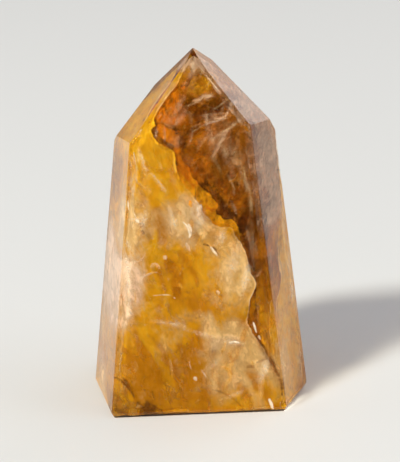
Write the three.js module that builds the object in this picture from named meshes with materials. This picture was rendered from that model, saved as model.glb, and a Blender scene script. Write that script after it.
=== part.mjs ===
// Golden healer quartz tower: one natural quartz crystal, ground and polished into a
// free-standing six-sided tower with a faceted point, a bevelled foot and softened edges.
//
// Units are millimetres and +Z is up. The tower stands on its foot with the origin under the
// middle of its bounding box. -Y is the broad front face, +X is to the right of it.
//
// The crystal is a convex solid, so it is described as a lapidary would grind it: every facet
// is a plane with the compass direction that it faces, its angle, and how far out it lies.

import * as THREE from 'three';
import { ConvexGeometry } from 'three/addons/geometries/ConvexGeometry.js';

// ---- driving dimensions ----------------------------------------------------------------

// Side faces: azimuth that the face looks towards, lean of the face inwards from vertical
// (degrees), and reach from the axis at floor level (mm).
const SIDE_FACES = [
  { azimuth: -92, lean: 3.5, reach: 16.6 }, // front, the broad face
  { azimuth: -26, lean: 7, reach: 23 }, // right
  { azimuth: 20, lean: 4.5, reach: 20.2 }, // right back
  { azimuth: 90, lean: 5, reach: 17.5 }, // back
  { azimuth: 158, lean: 6, reach: 21.8 }, // left back
  { azimuth: -172.5, lean: 6, reach: 21.5 }, // left
];

// Point facets: azimuth, slope up from the horizontal (degrees), and the height at which the
// facet's plane crosses the axis (mm). The front is polished in two tiers.
const POINT_FACETS = [
  { azimuth: -95.5, slope: 55, height: 79.6 }, // front
  { azimuth: -90.5, slope: 42.5, height: 76.8 }, // front, the small flatter facet at the tip
  { azimuth: -18, slope: 44.7, height: 76 }, // right
  { azimuth: 25, slope: 54.5, height: 78.3 }, // right back
  { azimuth: 91, slope: 60, height: 74 }, // back
  { azimuth: 158, slope: 55.4, height: 78.5 }, // left back
  { azimuth: 180, slope: 49, height: 74.9 }, // left
];

const FOOT_BEVEL = { height: 1.35, inset: 0.85 }; // bevel around the foot
const EDGE_RADIUS = 0.3; // softening that polishing leaves on every edge
const EDGE_STEPS = 4; // flats that make up each softened edge

const CRYSTAL_FINISH = { color: 0xd9a23a, roughness: 0.06, metalness: 0 };

// ---- facet planes ----------------------------------------------------------------------

// A plane that faces the azimuth, tilted up by tilt degrees, through the point that lies
// reach mm from the axis at the height given. THREE.Plane keeps normal . p + constant = 0.
function facetPlane(azimuth, tilt, reach, height) {
  const compass = THREE.MathUtils.degToRad(azimuth);
  const rise = THREE.MathUtils.degToRad(tilt);
  const outwards = new THREE.Vector3(Math.cos(compass), Math.sin(compass), 0);
  const normal = outwards.clone().multiplyScalar(Math.cos(rise));
  normal.z = Math.sin(rise);
  const point = outwards.multiplyScalar(reach);
  point.z = height;
  return new THREE.Plane().setFromNormalAndCoplanarPoint(normal, point);
}

function sidePlane({ azimuth, lean, reach }) {
  return facetPlane(azimuth, lean, reach, 0);
}

function pointPlane({ azimuth, slope, height }) {
  return facetPlane(azimuth, 90 - slope, 0, height);
}

// The bevel under a side face starts FOOT_BEVEL.height up the face and runs down and in.
function footBevelPlane({ azimuth, lean, reach }) {
  const leanedIn = FOOT_BEVEL.height * Math.tan(THREE.MathUtils.degToRad(lean));
  const drop = Math.atan2(FOOT_BEVEL.inset - leanedIn, FOOT_BEVEL.height);
  const tilt = -THREE.MathUtils.radToDeg(drop);
  return facetPlane(azimuth, tilt, reach - FOOT_BEVEL.inset, 0);
}

function towerPlanes() {
  const floor = new THREE.Plane(new THREE.Vector3(0, 0, -1), 0);
  return [
    floor,
    ...SIDE_FACES.map(sidePlane),
    ...SIDE_FACES.map(footBevelPlane),
    ...POINT_FACETS.map(pointPlane),
  ];
}

// ---- corners of the convex solid behind a set of planes --------------------------------

const TOUCHING = 1e-6; // distance within which a corner lies on a plane, mm

function meetingPoint(a, b, c) {
  const rows = new THREE.Matrix3().set(
    ...a.normal.toArray(),
    ...b.normal.toArray(),
    ...c.normal.toArray(),
  );
  if (Math.abs(rows.determinant()) < 1e-9) return null;
  const distances = new THREE.Vector3(-a.constant, -b.constant, -c.constant);
  return distances.applyMatrix3(rows.invert());
}

// Every corner is { position, planes }, with planes the set of planes that meet there.
function solidCorners(planes) {
  const corners = [];
  for (let i = 0; i < planes.length; i++) {
    for (let j = i + 1; j < planes.length; j++) {
      for (let k = j + 1; k < planes.length; k++) {
        const position = meetingPoint(planes[i], planes[j], planes[k]);
        if (!position) continue;
        if (planes.some((plane) => plane.distanceToPoint(position) > TOUCHING)) continue;
        const known = corners.find((c) => c.position.distanceTo(position) < 1e-3);
        const corner = known ?? { position, planes: new Set() };
        if (!known) corners.push(corner);
        for (const plane of [planes[i], planes[j], planes[k]]) corner.planes.add(plane);
      }
    }
  }
  return corners;
}

// Two planes share an edge of the solid if two corners lie on both of them.
function shareEdge(corners, a, b) {
  const shared = corners.filter((c) => c.planes.has(a) && c.planes.has(b));
  return shared.length >= 2;
}

// ---- softened edges --------------------------------------------------------------------

// Directions fanned evenly from one unit normal to another, both ends included.
function fan(from, to) {
  const turn = new THREE.Quaternion().setFromUnitVectors(from, to);
  const still = new THREE.Quaternion();
  const directions = [];
  for (let step = 0; step <= EDGE_STEPS; step++) {
    const part = still.clone().slerp(turn, step / EDGE_STEPS);
    directions.push(from.clone().applyQuaternion(part));
  }
  return directions;
}

// The facets are first moved in by the radius. Each corner of that smaller solid then carries
// an arc of points for each edge that leaves it, and the hull of all the arcs is the tower:
// its facets lie exactly on the original planes, and its edges are rounded.
function softenedTower(planes, radius) {
  const inner = planes.map((plane) => new THREE.Plane(plane.normal, plane.constant + radius));
  const corners = solidCorners(inner);
  const points = [];
  for (const corner of corners) {
    const meeting = [...corner.planes];
    meeting.forEach((first, index) => {
      for (const second of meeting.slice(index + 1)) {
        if (!shareEdge(corners, first, second)) continue;
        for (const direction of fan(first.normal, second.normal)) {
          points.push(corner.position.clone().addScaledVector(direction, radius));
        }
      }
    });
  }
  return new ConvexGeometry(points);
}

// ---- the part --------------------------------------------------------------------------

function quartzTower() {
  const geometry = softenedTower(towerPlanes(), EDGE_RADIUS);
  geometry.computeBoundingBox();
  const { min, max } = geometry.boundingBox;
  geometry.translate(-(min.x + max.x) / 2, -(min.y + max.y) / 2, -min.z);
  const tower = new THREE.Mesh(geometry, new THREE.MeshStandardMaterial(CRYSTAL_FINISH));
  tower.name = 'quartz_tower';
  return tower;
}

const part = new THREE.Group();
part.name = 'golden_healer_quartz_tower';
part.add(quartzTower());

export default part;
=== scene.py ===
"""Golden healer quartz tower: the finish of the polished crystal and what is sealed in it.

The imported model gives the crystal's outside. This file makes it see-through and grows the
inclusions of a golden healer inside it: a milky golden curtain that breaks off along a jagged
edge, amber and smoky veils behind the break, clouds, stains, small fractures and fine threads.
"""

import itertools
import math

import bmesh
import bpy
import numpy as np
from bpy.props import FloatProperty, FloatVectorProperty, IntProperty, PointerProperty
from mathutils import Matrix, Vector


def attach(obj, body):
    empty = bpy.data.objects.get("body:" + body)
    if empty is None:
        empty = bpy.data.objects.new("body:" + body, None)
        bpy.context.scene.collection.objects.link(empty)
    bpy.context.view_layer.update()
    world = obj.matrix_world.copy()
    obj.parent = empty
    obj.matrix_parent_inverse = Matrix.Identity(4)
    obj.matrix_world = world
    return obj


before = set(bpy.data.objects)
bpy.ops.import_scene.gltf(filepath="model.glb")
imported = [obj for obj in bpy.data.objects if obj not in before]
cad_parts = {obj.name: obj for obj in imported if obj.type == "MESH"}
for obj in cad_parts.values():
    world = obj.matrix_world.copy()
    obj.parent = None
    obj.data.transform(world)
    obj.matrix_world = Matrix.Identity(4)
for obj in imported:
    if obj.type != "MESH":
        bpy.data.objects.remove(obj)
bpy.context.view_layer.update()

bl_info = {
    "name": "Golden Healer Quartz Tower",
    "version": (1, 0, 0),
    "blender": (4, 5, 0),
    "location": "View3D > Sidebar > Quartz",
    "description": "Finishes a polished quartz tower and grows its iron-stained inclusions",
    "category": "Object",
}

MM = 0.001
CRYSTAL = "quartz_tower"


# ---- the crystal's own facets ----------------------------------------------------------


def crystal_facets(least):
    """(normals, distances in mm) of the crystal's facets that are larger than least, in square mm."""
    areas = {}
    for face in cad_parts[CRYSTAL].data.polygons:
        key = tuple(round(part, 3) for part in face.normal)
        total, normal, centre = areas.get(key, (0.0, face.normal.copy(), face.center.copy()))
        areas[key] = (total + face.area, normal, centre)
    large = (entry[1:] for entry in areas.values() if entry[0] > least * MM * MM)
    kept = [(normal, normal.dot(centre) / MM) for normal, centre in large]
    return np.array([normal for normal, _ in kept]), np.array([reach for _, reach in kept])


# The broad facets, and all facets with the foot's bevel and the softened edges.
NORMALS, REACHES = crystal_facets(12.0)
ALL_NORMALS, ALL_REACHES = crystal_facets(0.001)
FRONT = (NORMALS[:, 1] < -0.6) & (NORMALS[:, 2] > -0.2)


# ---- noise -----------------------------------------------------------------------------

LATTICE_SIZE = 4096
LATTICE = np.random.default_rng(7).uniform(-1, 1, LATTICE_SIZE)
PRIMES = (73856093, 19349663, 83492791)
# How far the streaks of each part lean from upright, in degrees.
GOLDEN_LEAN, SMOKY_LEAN = 20.0, -62.0


def lattice_noise(points, size, seed):
    """Smooth noise of -1 to 1 at each point (mm), with features of the size given."""
    scaled = points / size + 50.0 + seed * 3.17
    cell = np.floor(scaled).astype(np.int64)
    part = scaled - cell
    part = part * part * (3 - 2 * part)
    total = np.zeros(len(points))
    for corner in itertools.product((0, 1), repeat=3):
        weight = np.prod(np.where(corner, part, 1 - part), axis=1)
        x, y, z = ((cell + corner) * PRIMES).T
        total += weight * LATTICE[(x ^ y ^ z ^ (seed * 977)) & (LATTICE_SIZE - 1)]
    return total


def fractal(points, size, octaves, seed):
    """Noise in several octaves, of about -1 to 1."""
    layers = [lattice_noise(points, size / 2**n, seed + n) / 2**n for n in range(octaves)]
    return sum(layers) * 1.2


def stirred(points, size, reach, seed):
    """The points moved about by noise, so that what is laid out on them gets wispy borders."""
    drawn = points * (1, 0.6, 0.55)
    moves = [fractal(drawn, size, 3, seed + 11 * axis) for axis in range(3)]
    return points + np.stack(moves, axis=1) * reach


def drawn_out(points, lean=GOLDEN_LEAN):
    """The points squeezed so that noise on them runs in streaks that lean (degrees) from upright."""
    cos, sin = math.cos(math.radians(lean)), math.sin(math.radians(lean))
    x, y, z = points.T
    return np.stack([x * cos + z * sin, y * 0.55, (z * cos - x * sin) * 0.5], axis=1)


# ---- meshes ----------------------------------------------------------------------------

SMALLEST_SHEET = 60  # faces; anything smaller that a cut leaves loose is dropped
CLEARANCE = 0.3  # mm that the small pieces keep under every facet and softened edge


def grid_faces(rows, columns):
    """Corner numbers of the quads of a grid whose points run row by row."""
    corner = np.arange((rows - 1) * columns).reshape(rows - 1, columns)[:, :-1].ravel()
    return np.stack([corner, corner + 1, corner + columns + 1, corner + columns], axis=1)


def mesh_piece(name, points, faces, material, layers=None):
    """A smooth mesh piece (points in mm) that rides on the crystal, with float layers on its points."""
    if not len(faces):
        raise RuntimeError(f"{name} has no faces")
    mesh = bpy.data.meshes.new(name)
    mesh.from_pydata((points * MM).tolist(), [], faces.tolist())
    for layer, values in (layers or {}).items():
        mesh.attributes.new(layer, "FLOAT", "POINT").data.foreach_set("value", values)
    mesh.shade_smooth()
    mesh.materials.append(material)
    piece = bpy.data.objects.new(name, mesh)
    bpy.context.scene.collection.objects.link(piece)
    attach(piece, "root")
    return piece


def joined(faces, count):
    """For each point, the lowest number of the points that faces join it to."""
    label = np.arange(count)
    while True:
        before = label.copy()
        np.minimum.at(label, faces, label[faces].min(axis=1, keepdims=True))
        label = label[label]
        if (label == before).all():
            return label


def trimmed(faces, keep):
    """The numbers of the kept points that faces still use, and those faces renumbered; no loose scraps."""
    faces = faces[keep[faces].all(axis=1)]
    sheet = joined(faces, len(keep))[faces[:, 0]]
    faces = faces[np.bincount(sheet)[sheet] >= SMALLEST_SHEET]
    used = np.unique(faces)
    renumber = np.full(len(keep), -1)
    renumber[used] = np.arange(len(used))
    return used, renumber[faces]


def trim_to_crystal(piece, inset):
    """Cuts off what lies less than inset (mm) under the crystal's facets."""
    shape = bmesh.new()
    shape.from_mesh(piece.data)
    for normal, reach in zip(NORMALS, REACHES):
        bmesh.ops.bisect_plane(
            shape,
            geom=shape.verts[:] + shape.edges[:] + shape.faces[:],
            plane_co=Vector(normal) * (reach - inset) * MM,
            plane_no=Vector(normal),
            clear_outer=True,
        )
    bmesh.ops.triangulate(shape, faces=shape.faces[:])
    shape.to_mesh(piece.data)
    shape.free()
    if not piece.data.polygons:
        raise RuntimeError(f"{piece.name} is trimmed away")


def pressed_inside(points):
    """The points (mm), moved where need be to keep their clearance under the crystal's surface."""
    for normal, reach in [*zip(ALL_NORMALS, ALL_REACHES)] * 3:
        points = points - np.outer(np.maximum(points @ normal - reach + CLEARANCE, 0), normal)
    return points


def tip():
    """The crystal's highest point, in mm."""
    return np.array(max((v.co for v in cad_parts[CRYSTAL].data.vertices), key=lambda co: co.z)) / MM


def run_along(across, up):
    """How far it is along a line to each of its points."""
    return np.concatenate([[0], np.cumsum(np.hypot(np.diff(across), np.diff(up)))])


def core(heights):
    """Points of the line from the middle of the foot to the tip."""
    return np.outer(heights / TIP[2], TIP * (1, 1, 0)) + np.outer(heights, (0, 0, 1))


def reach_out(angles, heights, inset):
    """How far it is from the core line to the facets less inset, in each direction (mm)."""
    outward = np.stack([np.cos(angles), np.sin(angles), np.zeros_like(angles)], axis=1)
    facing = outward @ NORMALS.T
    grazing, far, least = 0.02, 1e3, 0.02
    room = REACHES - inset - core(heights) @ NORMALS.T
    reach = np.where(facing > grazing, room / np.maximum(facing, grazing), far)
    soft = 0.4 + 0.1 * inset
    nearest = reach.min(axis=1, keepdims=True)
    rounded = nearest[:, 0] - soft * np.log(np.exp((nearest - reach) / soft).sum(axis=1))
    return np.maximum(rounded, least)


def shell(inset, pitch, bumps):
    """Points and faces of a skin inset (mm) under the facets, dented by (size, depth, seed) bumps."""
    girth_height, lowest, headroom, foot_fade = 30.0, 0.5, 0.3, 7.0
    ring = np.linspace(0, 2 * math.pi, 2000)
    out = reach_out(ring, np.full_like(ring, girth_height), inset)
    run = run_along(out * np.cos(ring), out * np.sin(ring))
    columns = int(run[-1] / pitch) + 1
    angles = np.interp(np.linspace(0, run[-1], columns), run, ring)
    up = NORMALS[:, 2] > 0.3
    top = ((REACHES[up] - inset) / (NORMALS[up] @ np.array([*TIP[:2] / TIP[2], 1.0]))).min()
    heights = np.arange(lowest, top - headroom, pitch)
    turn, level = np.tile(angles, len(heights)), np.repeat(heights, columns)
    out = reach_out(turn, level, inset)
    outward = np.stack([np.cos(turn), np.sin(turn), np.zeros_like(turn)], axis=1)
    middle = core(level)
    points = middle + outward * out[:, None]
    for size, depth, seed in bumps:
        dent = depth * np.clip(0.5 + 0.5 * fractal(points * (1, 1, 0.6), size, 4, seed), 0, 1.2)
        dent *= np.clip(level / foot_fade, 0, 1)
        out = out - np.minimum(dent, 0.5 * out)
    return middle + outward * out[:, None], grid_faces(len(heights), columns)


TIP = tip()


# ---- where the golden, milky and smoky parts lie ---------------------------------------

# The break runs down the front of the crystal: (x, z) of its turns, from the top, in mm. No turn
# is sharper than a right angle, because side_of tells the sides apart only up to that.
BREAK = [
    (0, 80), (-2, 73), (-6, 69), (-9, 65.5), (-9.5, 63), (-8.5, 61.5), (-9.5, 60.5),
    (-8.5, 59), (-5.5, 57), (-4, 50.5), (0, 45), (2, 41.5), (4, 40.5), (6, 40.5),
    (8.5, 35.5), (11, 28), (9.5, 25), (9, 19.5), (12, 14), (15.5, 7), (16, -3),
]
# How far the golden rim stands out past the break at each height: (z, width), in mm.
RIM_WIDTHS = [
    (30, 0.2), (38, 1), (42, 1.5), (45, 3), (52, 2.5), (58, 2), (60, 4), (64, 6), (67, 4), (70, 0),
]
# The break runs straight in from the front for a while, less far under the lower right side, and
# then swings to the right: (z, depth) in mm, and (z, mm to the right for each mm further in).
STRAIGHT_IN = 3.5
STRAIGHT_IN_RIGHT = [(23, 1.4), (28, STRAIGHT_IN)]
SWING = [(20, 2.4), (27, 1.2), (60, 1.2), (66, 0.2)]


def along_break(top, bottom, aside=0.0):
    """(x, z) along the break from one height down to another, moved aside to the right, in mm."""
    heights = np.linspace(top, bottom, 6)
    x, z = np.array(BREAK[::-1], dtype=float).T
    return list(zip(np.interp(heights, z, x) + aside, heights))


def bowed(x, z, length, lean, bow=0.0):
    """(x, z) along a line that runs down from x, z, leaning (degrees) to the right; bow in mm."""
    along = np.linspace(0, 1, 7)
    cos, sin = math.cos(math.radians(lean)), math.sin(math.radians(lean))
    across = bow * 4 * along * (1 - along)
    return list(zip(x + length * along * sin + across * cos, z - length * along * cos + across * sin))


def side_of(line, x, z):
    """Signed distance from a line in the front plane, in mm: above 0 on its left, seen from the front."""
    nearest, side = np.full(len(x), 1e9), np.zeros(len(x))
    for (ax, az), (bx, bz) in zip(line[:-1], line[1:]):
        run_x, run_z = bx - ax, bz - az
        share = np.clip(((x - ax) * run_x + (z - az) * run_z) / (run_x**2 + run_z**2), 0, 1)
        away = np.hypot(x - ax - share * run_x, z - az - share * run_z)
        turn = run_x * (z - az) - run_z * (x - ax)
        closer = away < nearest - 1e-6
        nearest = np.where(closer, away, nearest)
        side = np.where(closer, np.where(turn < 0, 1.0, -1.0), side)
    return nearest * side


def by_height(z, table):
    """The value that a table of (height, value) gives at each z."""
    return np.interp(z, *np.array(table).T)


def within_rim(x, z):
    """Signed distance from the outer edge of the golden rim, in mm: above 0 within it."""
    return side_of(BREAK, x, z) + by_height(z, RIM_WIDTHS)


def front_depth(points):
    """How deep each point lies under the front facets, in mm."""
    return (REACHES[FRONT] - points @ NORMALS[FRONT].T).min(axis=1)


def nearest_facet(points):
    """Number of the facet that each point lies nearest to."""
    return (REACHES - points @ NORMALS.T).argmin(axis=-1)


def under_right(points):
    """Whether the crystal's right side is the nearest to each point."""
    return NORMALS[nearest_facet(points), 0] > 0.6


def past_ridge(points):
    """Distance past the upper left ridge, about in mm: above 0 on the left facet, where it is golden."""
    depths = REACHES - points @ NORMALS.T
    left = (NORMALS[:, 0] < -0.3) & (NORMALS[:, 2] > 0.3)
    tilted = (NORMALS[:, 1] < -0.5) & (NORMALS[:, 2] > 0.3)
    ridge = depths[:, tilted].min(axis=1) - depths[:, left].min(axis=1)
    return 0.5 * ridge - 0.4 - 0.5 * np.clip(depths.min(axis=1) - 1.4, 0, 4)


def from_break(points):
    """Distance from the break at each point, in mm; the break swings to the right further back."""
    height, furthest_in, shoulder = points[:, 2], 17, 60
    straight_in = np.where(under_right(points), by_height(height, STRAIGHT_IN_RIGHT), STRAIGHT_IN)
    back = np.clip(front_depth(points) - straight_in, 0, furthest_in)
    x = points[:, 0] - by_height(height, SWING) * back
    z = height - 0.1 * back
    ragged = fractal(points, 2.4, 3, 5) * 0.3 + fractal(points, 8.0, 2, 8) * 0.08 * back
    return np.maximum(side_of(BREAK, x, z), np.where(height > shoulder, past_ridge(points), -9)) + ragged


def behind_front(x, z, depth):
    """The place at x and z that lies so deep (mm) under the front facets."""
    normals = NORMALS[FRONT]
    y = ((REACHES[FRONT] - depth - normals[:, 0] * x - normals[:, 2] * z) / normals[:, 1]).max()
    return (x, y, z)


# A cloud fades out at this many times its radii.
CLOUD_EDGE = 1.35
# Soft clouds of each kind: (centre, radii, strength) in mm. A strength below 0 clears the kind away.
MILK = [
    ((-3.5, -12, 41.5), (6.6, 7, 6.5), 1.1),
    ((5.2, -13, 30.5), (6.2, 7, 9.5), 1.05),
    ((3.4, -14, 9.5), (7.6, 7, 9.5), 1.55),
    ((8.4, -14, 12.4), (4.2, 7, 6), 0.8),
    ((-1, -14, 18.6), (9, 7, 3), 0.45),
    ((12.2, -14, 9), (3.2, 7, 5.4), 1.3),
    ((-10.9, -10, 61.9), (2.8, 5, 3), 0.8),
    ((-14.2, -12, 46), (2.6, 7, 5), 0.9),
    ((0.4, -12, 42), (4, 7, 4.6), 1.2),
    ((-12.4, -12, 41), (4.2, 7, 5), 1.3),
    ((-4.8, -12, 47.8), (2.4, 7, 3.4), 0.5),
    ((3, -12, 38.6), (3.2, 7, 3), 0.4),
    ((-7, -13, 20), (5, 7, 2.2), 0.3),
    ((-1, -14, 17.5), (3.2, 7, 2.6), 0.6),
    ((5.5, -14, 15.5), (3.4, 7, 2.4), 0.8),
    ((7, -14, 21.5), (3.8, 7, 2.6), 0.4),
    ((-15.6, -12, 23), (1.8, 7, 4.5), 0.9),
    ((-12.5, -6, 64.5), (4, 7, 4), 1.2),
    ((-8, -3, 68), (5, 6, 6), 1.1),
    ((16.5, -5, 18), (3.6, 6, 10), 1),
    ((20, 4, 32), (4, 8, 12), 1.1),
    ((4, 17, 52), (9, 6, 8), 0.9),
    ((-20, 6, 50), (4, 7, 9), 0.8),
    ((-8, 15, 28), (5, 6, 10), 0.9),
    ((17, 10, 10), (6, 7, 6), 0.9),
    ((8, 16, 30), (8, 9, 14), 0.5),
    ((-10, 14, 48), (6, 8, 9), 0.5),
]
PEACH = [
    ((-15.3, -12, 29.5), (3.9, 6, 10), 1.1),
    ((-17, 1, 28.5), (4, 11, 12), 1.4),
    ((-22, 2, 12), (3, 9, 6), 0.8),
    ((-17.8, -11, 19), (2.4, 6, 4.5), 1),
]
AMBER = [
    ((-6, -13, 28.5), (8, 7, 6.5), 0.3),
    ((10, 15, 44), (6, 6, 8), 0.9),
    ((-22, 4, 20), (3, 6, 8), 0.6),
    ((-8.5, -12, 41.5), (1.1, 7, 4), 0.4),
    ((-9, -12, 55), (6, 7, 7), -0.7),
    ((-3, -13, 23), (7, 7, 4), 0.5),
    ((-8, -13, 10), (13, 7, 12), 0.85),
    ((3.2, -14, 2.6), (6.4, 7, 3), 0.6),
    ((9.6, -14, 4.6), (2, 7, 3.4), 0.8),
    ((13.6, -14, 2.6), (1.8, 7, 2.4), 0.7),
    ((8, -14, 17.2), (1.6, 7, 3.4), 0.5),
    ((-19.5, -4, 53), (3.4, 12, 9), 1.5),
    ((-20, -3, 6), (4, 8, 5), 0.8),
    ((-16, -9, 58), (2.6, 6, 3.4), 0.4),
    ((0, 15, 16), (10, 9, 9), 0.8),
    ((-14, 10, 38), (7, 8, 6), 0.7),
]
PEARL = [
    ((-0.2, -12, 43.6), (3, 6, 3.6), 0.8),
    ((-4, -12, 42.6), (4.2, 6, 4.2), 0.7),
    ((-1.4, -12, 38.6), (1.6, 6, 2.2), 0.6),
    ((-13.4, -12, 41), (3, 6, 4.4), 0.8),
    ((8.6, -13, 30.4), (1.6, 6, 3.4), 0.4),
    ((3.6, -13, 28), (3.6, 6, 5), 0.45),
    ((4, -14, 15), (4.6, 6, 1.6), 0.7),
    ((12.2, -14, 10.6), (2.2, 6, 3), 0.7),
    ((5.6, -15, 5), (2.6, 6, 1.6), 0.5),
    ((10, 14, 36), (5, 6, 9), 0.9),
    ((-16, 8, 24), (5, 6, 8), 0.8),
]
STAIN = [
    ((-12.8, -14.5, 1.4), (1.8, 4, 1.2), 0.5),
    ((-18.2, -14, 2.6), (1.7, 4, 2.8), 0.6),
    ((-20.5, -10, 3.5), (2.4, 5, 3.4), 0.9),
    ((-17.6, -14, 3), (2.4, 4, 4.6), 0.8),
    ((-10.8, -14.5, 1.2), (3.6, 4, 2.2), 0.7),
    ((-14.6, 0, 50), (3, 8, 9), 0.9),
    ((-6, 15, 8), (3, 4, 2.5), 0.9),
]
UPPER_LEFT_RIDGE = [(-1.6, 73.4), (-3.8, 71), (-6.6, 68), (-9.6, 64.4)]
# Streaks near the front: kind, strength, half width, then (x, z) along each, in mm.
STREAKS = [
    ("stain", 0.8, 0.5, [(-14.5, 3), (-14, 0.5)]),
    ("stain", 0.7, 0.5, [(-12.5, 3), (-12.5, 0.5)]),
    ("stain", 0.7, 0.4, [(-11, 2), (-11.5, 0.5)]),
    ("stain", 0.8, 0.5, [(-11.3, 38.7), (-10.9, 37.6)]),
    ("stain", 0.9, 0.4, [(9, 10), (10, 10)]),
    ("stain", 0.5, 0.5, [(1, 14), (3.5, 13.5)]),
    ("amber", 0.9, 0.8, [(-8.8, 44), (-8.1, 41), (-8.5, 38.2)]),
    ("amber", 0.3, 1.4, UPPER_LEFT_RIDGE),
    ("milk", 1.4, 1.8, UPPER_LEFT_RIDGE),
    ("amber", 0.9, 0.8, [(6.5, 7.5), (9.5, 0.5)]),
    ("amber", 0.9, 0.6, [(9.5, 8.5), (12.5, 3)]),
    ("amber", 0.7, 0.6, [(-12, 57.4), (-9.4, 54), (-7, 50.4)]),
    ("amber", 0.7, 0.5, [(-15, 52.6), (-12.6, 49.6), (-11.8, 46)]),
    ("amber", 0.6, 0.7, [(-6.8, 33.4), (-5.4, 30.4), (-5.6, 26.6)]),
    ("amber", 0.6, 0.6, [(-4, 35), (-1, 29)]),
    ("amber", 0.6, 0.6, [(-9, 31), (-8.2, 27), (-9.4, 24)]),
    ("amber", 0.6, 0.5, [(-14.6, 18.4), (-12.6, 13.8), (-10.6, 10.4), (-9.8, 7.6)]),
    ("amber", 0.6, 0.5, [(-11, 17.8), (-8.4, 13.8), (-6.8, 9.8), (-6, 6)]),
    ("amber", 0.6, 0.45, [(-16.8, 15), (-15, 11.2), (-13.2, 7.4)]),
    ("amber", 0.6, 0.5, [(-5.6, 15.6), (-4.2, 12.4), (-4, 8.6)]),
    ("milk", 0.8, 0.7, [(7.8, 7.6), (9.2, 5.2), (10.6, 3), (11.6, 1.2)]),
    ("milk", 0.4, 0.6, [(-13.8, 48.4), (-11.4, 46.2), (-9.8, 43.8)]),
    ("milk", 0.6, 0.5, [(-6.4, 52.4), (-5.2, 49), (-3.6, 46.6)]),
    ("milk", 0.7, 0.6, [(7.4, 26.6), (8.6, 30.2), (8.2, 34.2)]),
    ("milk", 0.6, 0.5, [(4.6, 24.6), (5.2, 28.6), (4.6, 32.8)]),
    ("milk", 0.7, 0.5, [(-17.4, 21), (-16.6, 26), (-16.8, 32), (-16, 38)]),
    ("pearl", 0.5, 0.9, [(-8.5, 37.5), (-5, 38), (-2.5, 36)]),
    ("pearl", 0.7, 0.8, [(-0.2, 45.6), (-0.5, 43.4), (-0.8, 41)]),
    ("pearl", 0.5, 1.0, [(0.5, 15), (7, 15.5)]),
    ("pearl", 0.6, 0.6, [(10.5, 14.5), (13.5, 11)]),
    ("umber", 1.3, 0.55, along_break(16, 5, 0.4)),
    ("umber", 1, 0.5, [(13.8, 18), (14.8, 15), (15.3, 12)]),
    ("umber", 1.4, 0.6, along_break(26, 22, 0.3)),
    ("umber", 0.9, 0.4, [(10, 21.5), (13, 25)]),
    ("umber", 0.7, 0.45, [(-3.2, 57.2), (-2, 54.2), (-0.8, 51.4), (1, 49.2)]),
    ("umber", 1, 0.5, [(-5, 60.2), (-2.6, 59.8), (0.4, 60.6), (2.6, 62)]),
    ("umber", 0.8, 0.5, [(-2.2, 62.8), (0.8, 64.2), (4.2, 65.4)]),
    ("umber", 0.7, 0.35, [(-3.6, 68), (-1.6, 68.2), (0.6, 69.2)]),
    ("chip", 0.9, 0.55, along_break(61, 57)),
    ("chip", 0.6, 0.35, [(-7.8, 61.6), (-6.2, 60.8), (-4.8, 60.4)]),
    ("chip", 0.7, 0.3, along_break(67, 63.5, 0.3)),
    ("chip", 0.6, 0.3, [(-6.6, 64), (-5.4, 62.8), (-4, 63.2)]),
    ("chip", 0.5, 0.25, [(-4.6, 54), (-3.2, 51.4), (-1.6, 49)]),
    ("chip", 0.5, 0.25, [(0.2, 46.2), (1.6, 44.2), (3.6, 42.6), (5.8, 41.8)]),
    ("haze", 1.2, 0.3, [(-1.6, 65.4), (0.6, 66.4), (3.6, 66.8)]),
    ("haze", 1.1, 0.25, [(-1.2, 61), (1.8, 62.2), (4.8, 62.8), (7.4, 64.6)]),
    ("haze", 0.9, 0.25, [(1.6, 58.6), (4.6, 60), (7.8, 61.8)]),
    ("haze", 1, 0.35, [(2.6, 54.6), (3.4, 57.4), (5.2, 59.8)]),
    ("haze", 0.9, 0.35, [(8, 46.4), (8.8, 50.2), (9.6, 54)]),
]
# Mauve haze; the clouds at x of 15.5 mm and more are painted reflection on the right facets, the narrow one
# at x 18.6 a painted pale band along the front right ridge.
HAZE_AND_PAINTED_REFLECTION = [
    ((5.6, -9, 57), (3.8, 7, 5), 1.1),
    ((8.4, -11, 53), (2.6, 7, 4.6), 0.7),
    ((4.6, -9, 61.8), (3.6, 5, 0.9), 0.9),
    ((2.4, -8, 66), (3.4, 5, 1.1), 1.1),
    ((-0.6, -3, 72.4), (2.2, 5, 2.2), 2.2),
    ((15.5, -4, 52), (4, 11, 14), 1.4),
    ((18.8, -7, 36), (2.4, 9, 8), 1.2),
    ((20, -6, 18), (2.6, 9, 7), 0.7),
    ((9.5, -4, 65), (3.6, 8, 7), 1.2),
    ((18.6, -14.5, 44), (1.6, 2.6, 24), 1.4),
]
UMBER = [
    ((-3.4, -10, 58.2), (2.2, 5, 1.3), 1.3),
    ((-4.8, -10, 57.2), (1.2, 5, 1.2), 1.1),
    ((2, -10, 62.8), (3.2, 5, 1.6), 0.9),
    ((5.2, -9, 64.2), (2.6, 5, 1.2), 0.8),
    ((-0.6, -7, 70.4), (1.6, 5, 1), 0.7),
    ((9.8, -13, 39.2), (3, 6, 3.8), 1.7),
    ((12.6, -13, 31.4), (2.6, 6, 3), 1.9),
    ((12.4, -13, 27), (2.4, 6, 1), 0.5),
    ((10.6, -12, 45), (3, 7, 4), 1.2),
    ((4.4, -12, 47.6), (2.2, 6, 2.2), 0.8),
    ((9.8, -13, 22.6), (0.8, 5, 2.6), 1),
    ((17, -7, 31), (3.4, 9, 4.4), 2.2),
    ((14.8, -14, 9.5), (0.8, 5, 5), 0.9),
]
YELLOW = [
    ((12.6, -13, 20.6), (2.8, 7, 4.6), 1.4),
    ((13.8, -13, 15.6), (2.6, 7, 5), 1.3),
    ((1.6, -6, 68.6), (3, 6, 2.2), 1.3),
    ((-1.8, -8, 66.4), (2, 5, 1.6), 0.6),
    ((19, -6, 16), (4, 10, 11), 1.4),
    ((19, -4, 40), (2.4, 7, 4), 0.7),
    ((13, -12, 33), (1.4, 6, 1.6), 0.6),
]
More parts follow.
